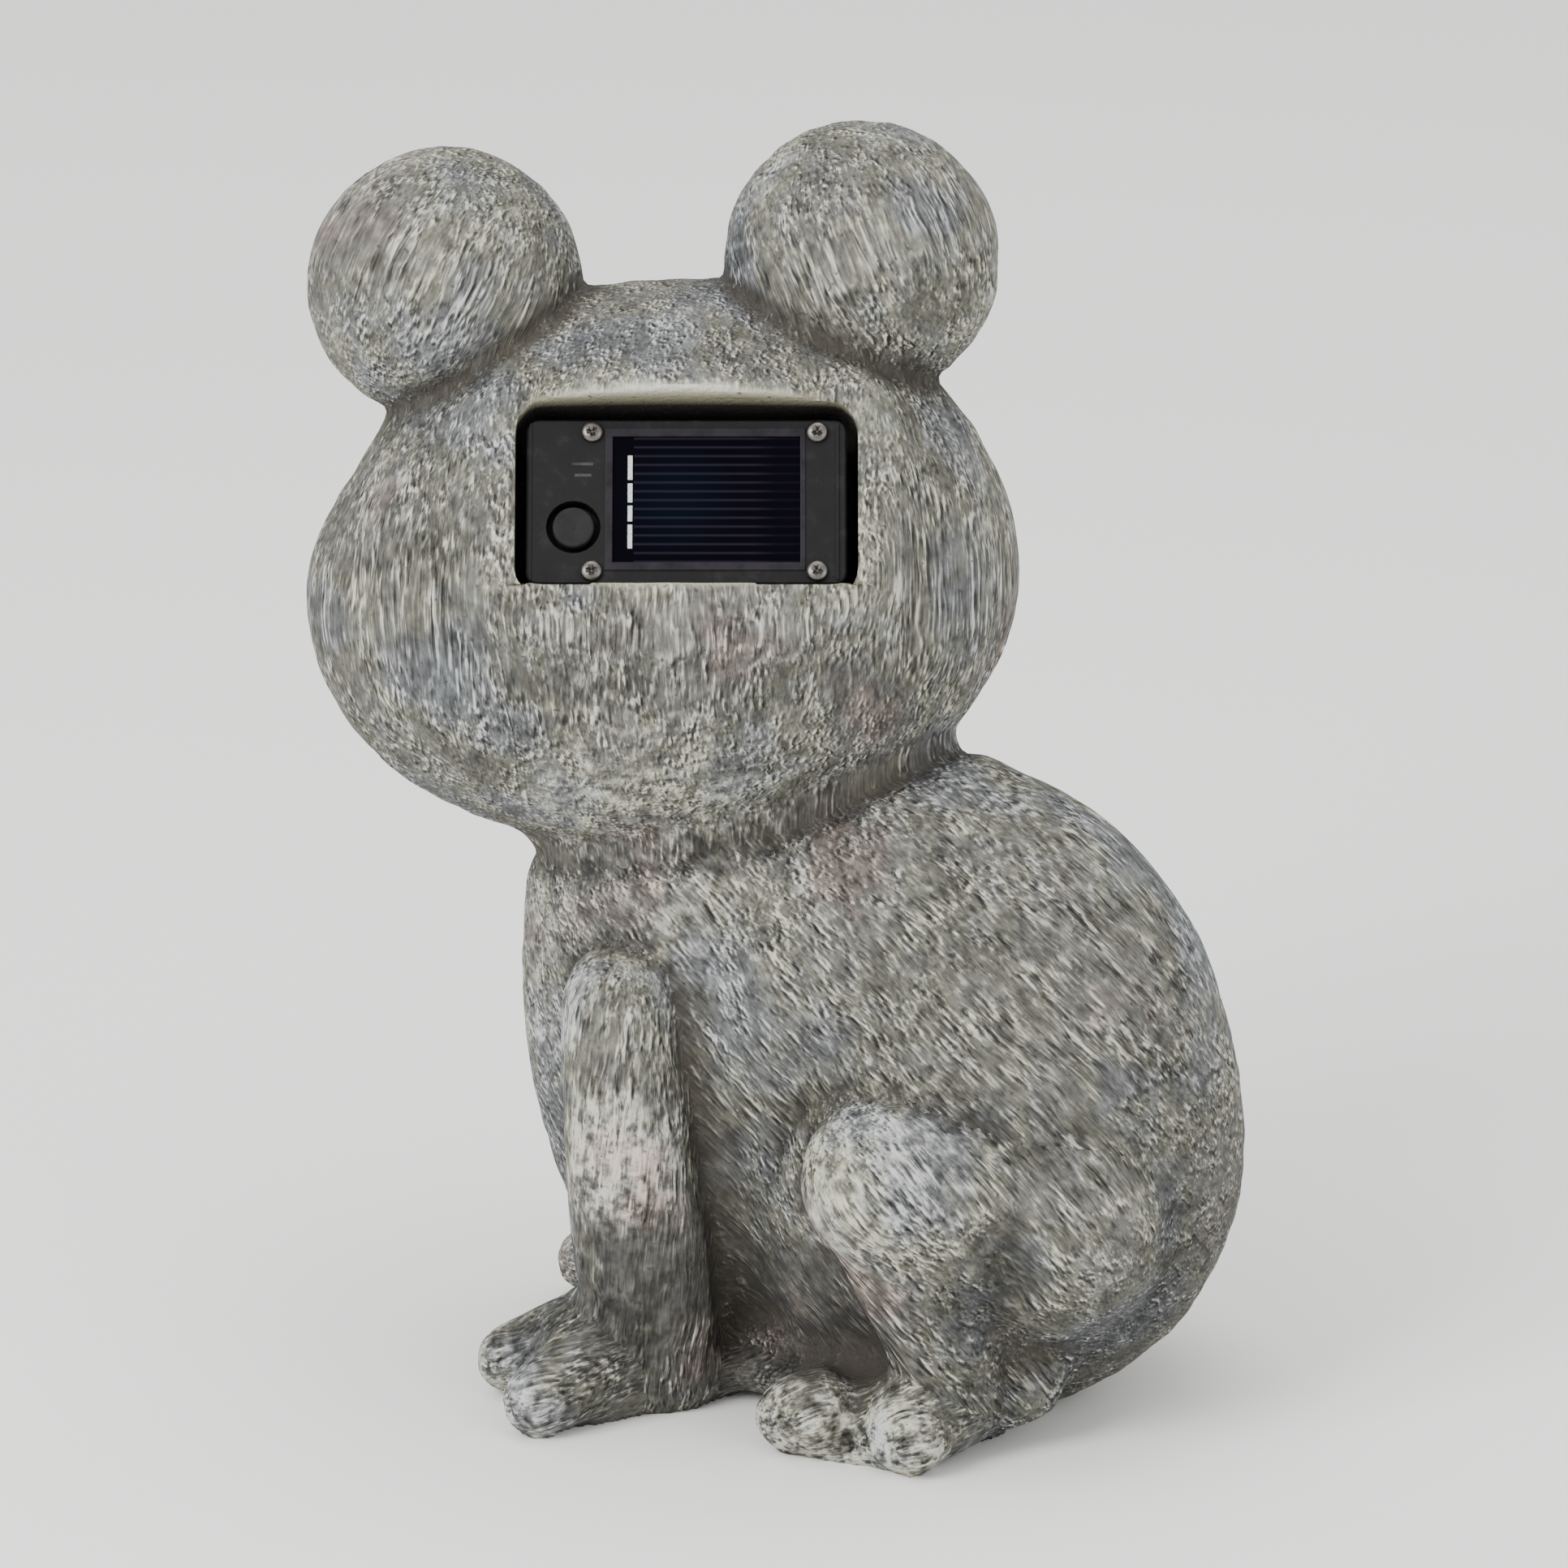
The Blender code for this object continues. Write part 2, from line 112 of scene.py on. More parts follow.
def new_material(name):
    """An empty material and its node tree."""
    material = bpy.data.materials.new(name)
    material.use_nodes = True
    material.node_tree.nodes.clear()
    return material, material.node_tree


# %% [markdown]
# ## The places of the parts
# The strokes on the cast run another way on each part of the frog: down the head, slanting over
# the flank, along the legs and toes. So the script needs to know roughly where each part is. The
# figure's own axes are turned a little from the frame's: it looks to one side.

# %% Figure axes
TURN = math.radians(75)
FORWARD = Vector((math.sin(TURN), -math.cos(TURN), 0))
LEFT = Vector((math.cos(TURN), math.sin(TURN), 0))
ROOT = Vector((-0.016936, 0.009918, 0))


def at(left, tail, up):
    """A place in the frame from millimetres to the figure's left, towards its tail and up."""
    return ROOT + (LEFT * left - FORWARD * tail) * MM + Vector((0, 0, up * MM))


HEAD = ROOT + Vector((0.0389, -0.0147, 0.1775))
EYES = [Vector((0.0713, -0.0148, 0.2426)), Vector((-0.0188, -0.0148, 0.2484))]
EYE_RADIUS = 30  # in millimetres
print("figure faces", [round(value, 3) for value in FORWARD])

# %% [markdown]
# ## The skin: a fine mesh grown from the solid
# The solid has large facets. A voxel remesh at about a millimetre and a half turns it into an
# even net of small squares, fine enough to carry the chisel marks as real mesh. Relaxing the net
# rubs the facets away, as the potter's wet sponge does. The underside stays flat, so the frog
# still stands.

# %% Grow the net
NET = 1.48 * MM
PADS = [  # clay pads pressed on before the net grows: start, end and both radii, for both sides
    ((50, 27, 7), (30, 47, 14), 7.5, 8.5), ((22, -12, 10), (21, -15, 10.5), 6.8, 6.8),
    ((47, -1, 9), (50, 4, 10), 8.0, 8.5), ((51, 25, 9), (53, 27, 8), 9.0, 8.5)]


def pad(net, start, end, radius, radius_end):
    """A tapered sausage between two places of the figure, as a closed shell."""
    ball = bmesh.ops.create_icosphere(net, subdivisions=3, radius=1.0)["verts"]
    along = end - start
    turn = along.to_track_quat("Z", "Y").to_matrix().to_4x4()
    for vert in ball:
        tip = vert.co.z > 0
        size = (radius_end if tip else radius) * MM
        vert.co = vert.co * size + Vector((0, 0, along.length if tip else 0))
    bmesh.ops.transform(net, matrix=Matrix.Translation(start) @ turn, verts=ball)


def grown_net(node, pitch):
    """A closed even net of quads in the shape of a CAD node and its pads."""
    mesh = node.data.copy()
    net = bmesh.new()
    net.from_mesh(mesh)
    bmesh.ops.remove_doubles(net, verts=net.verts, dist=1e-6)
    for start, end, radius, radius_end in PADS:
        for side in (1, -1):
            places = [at(side * left, tail, up) for left, tail, up in (start, end)]
            pad(net, *places, radius, radius_end)
    bmesh.ops.bisect_plane(net, geom=net.verts[:] + net.edges[:] + net.faces[:], dist=1e-7,
                           plane_co=(0, 0, 0), plane_no=(0, 0, -1), clear_outer=True)
    bmesh.ops.holes_fill(net, edges=[edge for edge in net.edges if edge.is_boundary], sides=0)
    net.to_mesh(mesh)
    net.free()
    mesh.materials.clear()
    piece = bpy.data.objects.new("frog_skin", mesh)
    scene.collection.objects.link(piece)
    remesh = piece.modifiers.new("net", "REMESH")
    remesh.mode, remesh.voxel_size, remesh.adaptivity = "VOXEL", pitch, 0
    grown = bpy.data.meshes.new_from_object(
        piece.evaluated_get(bpy.context.evaluated_depsgraph_get()))
    piece.modifiers.clear()
    piece.data = grown
    return piece


skin = grown_net(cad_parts["frog"], NET)
print("net:", len(skin.data.vertices), "points,", len(skin.data.polygons), "squares")

# %% Points, edges and normals as arrays
count = len(skin.data.vertices)
points = np.empty(count * 3)
skin.data.vertices.foreach_get("co", points)
points = points.reshape(-1, 3)
edges = np.empty(len(skin.data.edges) * 2, np.int64)
skin.data.edges.foreach_get("vertices", edges)
edges = edges.reshape(-1, 2)
ends_a, ends_b = edges[:, 0], edges[:, 1]
valence = np.bincount(edges.ravel(), minlength=count).astype(float)


def relaxed(values, rounds, share=0.5, free=None):
    """Values moved round by round towards the mean of their neighbours, only where free is 1."""
    values = values.copy()
    for _ in range(rounds):
        total = np.zeros_like(values)
        for column in range(values.shape[1]):
            total[:, column] = (
                np.bincount(ends_a, values[ends_b, column], count)
                + np.bincount(ends_b, values[ends_a, column], count))
        step = (total / valence[:, None] - values) * share
        values += step if free is None else step * free[:, None]
    return values


# %% [markdown]
# The recess for the lamp keeps its walls, so the relaxing stops near it, and points of the flat
# underside only slide on the ground.

# %% Rub the facets away
PANEL = Vector((0.01886, 0.03442, 0.2079))
PANEL_X, PANEL_Y = Vector((-1, 0, 0)), Vector((0, -0.54464, 0.83867))
PANEL_OUT = Vector((0, 0.83867, 0.54464))
PANEL_AXES = (PANEL_X, PANEL_Y, PANEL_OUT)
RECESS_HALF_WIDTH, RECESS_HALF_HEIGHT, RECESS_DEPTH = 0.0364, 0.0208, 0.022


def in_panel(places):
    """Places seen from the cover plate: across, up the slope and out of it."""
    return (places - np.array(PANEL)) @ np.array(PANEL_AXES).T


def ease(values, low, high):
    """0 at low, 1 at high, smooth between."""
    share = np.clip((values - low) / (high - low), 0, 1)
    return share * share * (3 - 2 * share)


def groove(off, half):
    """1 on a line, falling smoothly to nearly 0 at twice its half width."""
    return np.exp(-(off / half) ** 2)


across, slope, out = in_panel(points).T
near_x = np.maximum(np.abs(across) - RECESS_HALF_WIDTH, 0)
near_y = np.maximum(np.abs(slope) - RECESS_HALF_HEIGHT, 0)
from_recess = np.hypot(near_x, near_y)
ahead = out > -RECESS_DEPTH
free = np.where(ahead, 0.12 + 0.88 * ease(from_recess, 0.0008, 0.004), 1.0)
lowest = points[:, 2] < 0.0006
points[lowest, 2] = 0
points = relaxed(points, rounds=9, share=0.55, free=free)
points[lowest, 2] = 0
print("relaxed, lowest point", points[:, 2].min())

# %% [markdown]
# The lip of the recess was opened with a knife while the model was soft: the top wall leans back
# in a flat arch and catches light, and the bottom lip comes up close under the cover. The ranges
# below are metres from the middle of the cover.

# %% Shape the lip of the recess
across, slope, out = in_panel(points).T
pressed = (1 - ease(from_recess, 0.002, 0.017)) * ease(out, -0.013, -0.004)
rise = np.clip(0.0022 - out, 0, 0.006) * pressed
points = points + np.outer(rise, np.array(PANEL_OUT))
across, slope, out = in_panel(points).T
above = ease(slope, 0.0190, 0.0206) * (1 - ease(slope, 0.0225, 0.034))
below = ease(-slope, 0.0190, 0.0206) * (1 - ease(-slope, 0.0215, 0.030))
within = 1 - ease(np.abs(across), 0.0385, 0.0425)
arch = np.clip(1 - (across / 0.040) ** 2, 0, 1)
top_lip = above * (0.3 + 1.3 * arch) * ease(out, -0.006, 0.003)
bottom_lip = below * 1.9 * ease(out, -0.018, -0.012)
lift = (top_lip + bottom_lip) * within
points = points + np.outer(lift * MM, np.array(PANEL_Y))
print("lip moved, mm:", round(float(lift.max()), 2))

# %% [markdown]
# ## The way the strokes run
# Each part gets one direction in space. Noise drawn out along it leaves streaks on the surface
# that follow the part's own roundness, the way a chisel follows a ball. Each small square belongs
# to the part that it lies nearest to, so the direction changes in the creases, as on the real
# cast.

# %% Parts and their stroke directions
def rod(places, start, end, radius, radius_end=None):
    """Distance from places to a rod with round ends that may taper."""
    start, end = np.array(start), np.array(end)
    along = end - start
    share = np.clip(((places - start) @ along) / max(along @ along, 1e-12), 0, 1)
    size = radius + share * ((radius_end or radius) - radius)
    return np.linalg.norm(places - start - share[:, None] * along, axis=1) - size * MM


def egg(places, centre, radii, towards=FORWARD):
    """Rough distance to an egg with radii to the left, to the tail and up, in millimetres."""
    side = Vector((0, 0, 1)).cross(towards)
    axes = np.array([side, -towards, (0, 0, 1)])
    away = (places - np.array(centre)) @ axes.T / (np.array(radii) * MM)
    size = np.linalg.norm(away, axis=1)
    return (size - 1) * min(radii) * MM


def mirrored(places):
    """Places folded onto the figure's left side."""
    side = (places - np.array(ROOT)) @ np.array(LEFT)
    return places + np.outer(np.abs(side) - side, np.array(LEFT))


def part_distances(places):
    """Distance to torso, head, two eyes, forelegs, thighs and feet, one row for each part."""
    near = mirrored(places)
    return np.array([
        np.minimum.reduce([egg(places, at(0, 24, 58.5), (48, 63.5, 84.5)),
                           egg(places, at(0, -26, 92), (35, 50, 84)),
                           egg(places, at(0, 6, 92), (42, 55, 57))]),
        egg(places, HEAD, (75.5, 57, 67.5), Vector((0, -1, 0))),
        rod(places, EYES[0], EYES[0], EYE_RADIUS), rod(places, EYES[1], EYES[1], EYE_RADIUS),
        np.minimum.reduce([rod(near, at(34, -43.6, 94), at(35, -41.3, 62), 13, 14.5),
                           rod(near, at(35, -41.3, 62), at(30, -39.2, 34), 14.5, 16),
                           rod(near, at(30, -39.2, 34), at(26, -37, 14), 16, 13)]),
        np.minimum(rod(near, at(25, 51, 51), at(44, 19.5, 63), 27, 19.5),
                   rod(near, at(43, 21, 58), at(36, 31, 24), 17, 15)),
        np.minimum.reduce([rod(near, at(27, -49, 13), at(31.5, -70, 8), 10, 8),
                           rod(near, at(35, -48, 12), at(52.5, -57, 7.5), 11, 8.5),
                           rod(near, at(37, 28, 12), at(52, 25, 8), 12, 8.5),
                           rod(near, at(35, 14, 12), at(47.5, -1.5, 8), 10, 8.5),
                           rod(near, at(28, 4, 10), at(22, -14, 9), 9, 7.5)]),
    ])


def zones(places):
    """Number of the part that each place belongs to."""
    return np.argmin(part_distances(places), axis=0)


FLOWS = [  # the stroke direction of each part: torso, head, two eyes, foreleg, thigh, feet
    Vector((-0.80, 0.10, -0.80)), Vector((0.02, -0.12, 1)), Vector((-0.45, -0.3, 1)),
    Vector((0.42, -0.3, 1)), Vector((-0.10, 0.05, 1)), Vector((-0.62, 0.2, -0.72)),
    FORWARD + Vector((0, 0.35, -0.25)),
]
LONGER = np.array([0.9, 0.5, 0.6, 0.6, 0.7, 0.8, 0.8])  # below 1 draws the strokes out longer


def flow_axes(direction, side=Vector((0, 1, 0.2))):
    """Three axes: along the strokes, across them and outwards."""
    along = direction.normalized()
    across = side.cross(along).normalized()
    return np.array([along, across, along.cross(across)])


flow_frames = np.array([flow_axes(direction) for direction in FLOWS])


def flow_places(places, numbers):
    """Places in the stroke axes of their parts, moved apart so that no two parts look alike."""
    turned = np.einsum("nij,nj->ni", flow_frames[numbers], places)
    turned[:, 0] *= LONGER[numbers]
    return turned + numbers[:, None] * np.array([0.31, 0.17, 0.23])


point_zone = zones(points)
print("points of each part:", np.bincount(point_zone, minlength=7))

# %% [markdown]
# ## Tool lines between the parts
# The modeller ran a tool round the eye balls, under the chin and along the legs. The line lies
# where the two nearest parts are equally near. Feet grow out of their legs without one. The line
# over the thigh was drawn freehand, so it has places of its own.

# %% Cut the tool lines
def normals_of(places):
    """Point normals of the net at these places."""
    skin.data.vertices.foreach_set("co", places.ravel())
    skin.data.update()
    found = np.empty(count * 3)
    skin.data.vertices.foreach_get("normal", found)
    return found.reshape(-1, 3)


LINE_HALF, THIGH_LINE_HALF, LINE_DEPTH = 2.2, 2.3, 1.5
FORELEG, THIGH, FEET = 4, 5, 6  # rows of part_distances
THIGH_LINE = [(38, -8, 62), (39, -6, 68), (41, -2, 76), (44, 7, 81.5), (45.5, 14, 83.5),
              (46.5, 27, 82.5), (45.5, 39, 79), (45, 50, 73), (45, 62, 65)]
near = part_distances(points)
order = np.argsort(near, axis=0)[:2]
nearest, second = np.take_along_axis(near, order, axis=0)
grown_together = (order.max(axis=0) == FEET) & (order.min(axis=0) >= FORELEG)
line = groove(second - nearest, LINE_HALF * MM) * ~grown_together
line *= 1 - ease(nearest, 0.006, 0.012)
tail = (points - np.array(ROOT)) @ np.array(-FORWARD)
line *= np.where(order.max(axis=0) == THIGH, 1 - ease(tail, 0.034, 0.056), 1.0)
over_thigh = [at(*place) for place in THIGH_LINE]
off = np.minimum.reduce([rod(mirrored(points), start, end, 0)
                         for start, end in zip(over_thigh, over_thigh[1:])])
drawn = groove(off, THIGH_LINE_HALF * MM) * (1 - ease(tail, 0.036, 0.064))
line = np.maximum(line, drawn)
line *= np.where(ahead, ease(from_recess, 0.003, 0.008), 1.0) * ease(points[:, 2], 0.002, 0.006)
line = relaxed(line[:, None], rounds=2)[:, 0]
points = points - normals_of(points) * (line * LINE_DEPTH * MM)[:, None]
print("tool lines on", int((line > 0.5).sum()), "points")

# %% [markdown]
# A thumb left shallow dents: on top of the toes, between them and in the fold behind the calf.
# The wash stayed in them, so they are darker and the dry brush passed over them.

# %% Press the thumb dents
DENTS = [  # place of the figure, radius and depth in mm
    (34, -66, 16, 8, 2.4), (53, 46, 54, 10, 2.2), (52, 49, 45, 10, 2.2), (40, 12, 19, 9, 2.4),
    (42, -56, 14, 6, 1.6), (56, 12, 6, 6, 1.4), (30, -3, 16, 5, 1.0)]


def patch(centre, radius, core=0.35):
    """1 near a place of the figure's left or right side, falling to 0 at the radius in mm. The
    core is the share of the radius that keeps the 1."""
    away = np.linalg.norm(mirrored(points) - np.array(centre), axis=1)
    return 1 - ease(away, radius * core * MM, radius * MM)


dent = sum(patch(at(*place), radius, core=0.15) * depth for *place, radius, depth in DENTS)
points = points - normals_of(points) * (dent * MM)[:, None]
print("deepest dent, mm:", round(float(dent.max()), 1))

# %% [markdown]
# The face is on the far side. Its mouth line, nostrils, eye rings and pupils are in the solid,
# but the sponge rubbed them flat, so they are pressed in again at the same places.

# %% Cut the face again
MOUTH_HALF_SPAN, MOUTH_FALL, MOUTH_SMILE = (math.radians(angle) for angle in (59, -17, 11))
NOSTRIL_ASIDE, NOSTRIL_RISE = math.radians(9), math.radians(3)
HEAD_ROLL, GAZE_OUT, IRIS = (math.radians(angle) for angle in (3.7, 16, 30))
MOUTH_HALF, NOSTRIL_HALF, RING_HALF, MARK_DEPTH = 1.7, 2.2, 1.5, 1.5  # these four in mm
PUPIL_WIDE, PUPIL_HIGH = 8, 3.6  # half of each, in mm
EYE_REACH = 0.034  # in metres


def turned_from(centre, gaze):
    """How far each point turns aside and up from a gaze that leaves a centre, and its distance."""
    ahead, up = gaze.normalized(), Vector((0, 0, 1))
    away = points - np.array(centre)
    aside = away @ np.array(ahead.cross(up))
    depth, height = away @ np.array(ahead), away @ np.array(up)
    level = np.hypot(aside, depth)
    return np.arctan2(aside, depth), np.arctan2(height, level), np.linalg.norm(away, axis=1)


aside, rise, reach = turned_from(HEAD, Vector((0, -1, 0)))
share = aside / MOUTH_HALF_SPAN
mouth = rise - MOUTH_FALL - MOUTH_SMILE * share ** 2 + aside * math.sin(HEAD_ROLL)
face = groove(mouth * reach / MM, MOUTH_HALF) * (1 - ease(np.abs(share), 0.94, 1.04))
for side in (-1, 1):
    off = np.hypot(aside - side * NOSTRIL_ASIDE, rise - NOSTRIL_RISE) * reach / MM
    face = np.maximum(face, groove(off, NOSTRIL_HALF))
for eye, side in zip(EYES, (1, -1)):
    aside, rise, reach = turned_from(eye, Vector((side * math.sin(GAZE_OUT), -1, 0)))
    ring = groove((np.hypot(aside, rise) - IRIS) * EYE_RADIUS, RING_HALF)
    pupil = np.hypot(aside * EYE_RADIUS / PUPIL_WIDE, rise * EYE_RADIUS / PUPIL_HIGH)
    eye_marks = np.maximum(ring, 1 - ease(pupil, 0.75, 1.1)) * (reach < EYE_REACH)
    face = np.maximum(face, eye_marks)
points = points - normals_of(points) * (face * MARK_DEPTH * MM)[:, None]
print("face marks on", int((face > 0.5).sum()), "points")

# %% [markdown]
# ## Hollows and crests
# Stain settles in hollows and the dry brush touches crests first, and the material also paints
# shade into hollows and creases. Two relaxed copies of the net lie under the crests and over the
# hollows, one soft and one softer still. How far each point stands out from them tells which is
# which, for narrow forms and for wide ones.

# %% Measure hollows and crests
normals = normals_of(points)
soft = relaxed(points, rounds=70, share=0.6)
stands_out = ((points - soft) * normals).sum(1)
stands_out = relaxed(stands_out[:, None], rounds=6)[:, 0]
softer = relaxed(soft, rounds=160, share=0.6)
stands_wide = ((points - softer) * normals).sum(1)
print("stands out, mm:", np.percentile(stands_out / MM, [1, 10, 50, 90, 99]).round(2))
print("wide, mm:", np.percentile(stands_wide / MM, [1, 10, 50, 90, 99]).round(2))

# %% [markdown]
# ## Chisel marks as real mesh
# Three layers move the points in and out by fractions of a millimetre: long shallow gouges along
# the strokes, short nicks, and slow dents of the hand-made model. They fade out on the underside
# and in the recess, where the mould was plain.

# %% Carve the net
WARP_SIZE, DENT_SIZE = 14, 16  # in millimetres, as the depths
GOUGE_DEPTH, NICK_DEPTH, DENT_DEPTH = 0.34, 0.20, 0.40


def marks(places, long_mm, wide_mm, warp_mm=0.0):
    """Noise from -1 to 1 in stroke axes, long_mm long and wide_mm wide."""
    scale = np.array([1 / long_mm, 1 / wide_mm, 1 / wide_mm]) / MM
    if warp_mm:
        bend = np.array([noise.noise_vector(Vector(p)) for p in places / (WARP_SIZE * MM)])
        places = places + bend * warp_mm * MM
    return np.array([noise.noise(Vector(p)) for p in places * scale])


noise.seed_set(5)  # the strokes bend the same way each time
flow = flow_places(points, point_zone)
gouges = marks(flow, long_mm=17, wide_mm=4.2, warp_mm=2.2)
nicks = marks(flow + 0.5, long_mm=7, wide_mm=3.0, warp_mm=1.0)
dents = np.array([noise.noise(Vector(p)) for p in points / (DENT_SIZE * MM)])
calm = np.where(ahead, ease(from_recess, 0.0, 0.005), 1.0)
calm *= ease(points[:, 2], 0.0005, 0.004)
relief = (GOUGE_DEPTH * gouges + NICK_DEPTH * nicks + DENT_DEPTH * dents) * calm * MM
carved = points + normals * relief[:, None]
carved[lowest, 2] = 0
carved[:, 2] = np.maximum(carved[:, 2], 0)
normals_of(carved)  # leaves the carved places in the mesh
print("relief, mm:", np.percentile(relief / MM, [1, 50, 99]).round(2))

# %% [markdown]
# ## What the material needs to know
# The net carries values to the material: the stroke coordinates of each square's corners, how
# hollow or crested the place is, how much dry-brushed paint it took, where the wash stayed and
# where shade is painted, how near the ground it is, and where the walls of the recess are and how
# deep they go, for the painted shade there. The brush was loaded on the knees, elbows and toes,
# where a hand would wear the real thing too.

# %% Store stroke coordinates and paint masks
corners = np.empty(len(skin.data.loops), np.int64)
skin.data.loops.foreach_get("vertex_index", corners)
middles = np.empty(len(skin.data.polygons) * 3)
skin.data.polygons.foreach_get("center", middles)
face_zone = zones(middles.reshape(-1, 3))
sizes = np.empty(len(skin.data.polygons), np.int64)
skin.data.polygons.foreach_get("loop_total", sizes)
corner_flow = flow_places(points[corners], np.repeat(face_zone, sizes))


def store(name, values, domain="POINT"):
    """Writes values to the skin as an attribute, three numbers each or one."""
    wide = values.ndim == 2
    layer = skin.data.attributes.new(name, "FLOAT_VECTOR" if wide else "FLOAT", domain)
    layer.data.foreach_set("vector" if wide else "value", values.astype(np.float32).ravel())


loaded = np.maximum.reduce([
    patch(at(58, 16, 67), 36) * 0.6, patch(HEAD + Vector((0, 0.045, -0.045)), 46) * 0.45,
    patch(at(25, -62, 95), 34) * 0.5, patch(at(52, -42, 62), 24), patch(at(40, -78, 6), 26) * 0.9,
    patch(at(62, -64, 6), 22), patch(at(62, 18, 6), 24) * 1.5, patch(at(50, -10, 6), 22) * 1.5])
# Stain in the thumb dents and face marks, and painted shade: the three patches darken the forearm,
# the belly between the limbs and the underside of the rump.
washed = np.maximum.reduce([
    np.clip(dent / 2.4, 0, 0.65), face, patch(at(46, -34, 34), 26) * 0.55,
    patch(at(38, -6, 30), 28) * 0.6, patch(at(20, 70, 40), 40) * 0.3])
store("flow", corner_flow, "CORNER")
store("crest", np.clip(stands_out / MM, -2, 2))
store("wide", np.clip(stands_wide / MM, -6, 6))
store("relief", relief / MM)
store("loaded", loaded)
# The tool lines also darken the colour: stain in the groove and painted crease shade.
store("line", line)
store("washed", washed)
# Painted shade: the colour darkens towards the ground over the lowest 75 mm.
store("low", 1 - ease(points[:, 2], 0.0, 0.075))
across, slope, out = in_panel(points).T
inwards = -(normals_of(points) * np.sign(slope)[:, None]) @ np.array(PANEL_Y)
in_head = out > -0.03
around = (np.abs(across) < 0.040) & (np.abs(slope) < 0.026) & in_head
inside = (from_recess < 0.0012) & (out < 0.001) & in_head
wall = np.maximum(around * ease(inwards, 0.15, 0.5), inside)
store("wall", relaxed(wall[:, None], rounds=1)[:, 0])
# How deep each point lies in the recess, for the painted shade there.
store("wall_depth", np.clip((out + 0.004) / 0.012, 0, 1))
normals_of(carved)  # the same once more
print("attributes:", [layer.name for layer in skin.data.attributes][-5:])

# %% [markdown]
# ## Cast stone with a dry-brushed finish
# The cast is a grey mineral resin, dead matt. Its colour is broken in four steps, as the painter
# did it: a grey ground with clouds of olive, mauve and blue-grey, a dark stain in the cut strokes
# and hollows, off-white paint on what stands out, and dark pin holes of the casting. Shade is also
# painted into the colour: in hollows, creases and tool lines, in a thin shadow beside each brush
# dab, towards the ground, and on the forearm, the belly between the limbs and under the rump. The
# walls of the recess are cream, with painted shade that darkens them with depth. The streaks are
# one to two millimetres wide on the real frog, and that is what the scales below give.

# %% Cast stone material
def streaks(tree, coordinates, long_mm, wide_mm, shift, detail=3.0, rough=0.6):
    """Noise from 0 to 1, drawn out along the strokes."""
    stretch = add(tree, "Mapping", Vector=coordinates, Location=(shift, shift * 0.7, -shift),
                  Scale=(1000 / long_mm, 1000 / wide_mm, 1000 / wide_mm))
    return add(tree, "TexNoise", Vector=stretch, Scale=1.0, Detail=detail, Roughness=rough)


def band(tree, values, middle, half):
    """Thin lines: 1 where values pass through middle, falling to 0 at half a width aside."""
    signed = add(tree, "Math", MINUS, i0=values, i1=middle)
    away = add(tree, "Math", {"operation": "ABSOLUTE"}, i0=signed)
    share = add(tree, "Math", {"operation": "DIVIDE"}, i0=away, i1=half)
    return add(tree, "Math", MINUS | {"use_clamp": True}, i0=1.0, i1=share)


def summed(tree, *terms):
    """Terms (value, weight) added up."""
    total = 0.0
    for value, weight in terms:
        total = add(tree, "Math", {"operation": "MULTIPLY_ADD"}, i0=value, i1=weight, i2=total)
    return total


DABS = [  # brush dabs: length and width in mm, shift, how rare, how strong
    (6.0, 1.15, 7.7, 0.56, 0.28), (11.0, 1.3, 2.9, 0.56, 0.22), (2.2, 1.0, 12.1, 0.59, 0.15)]


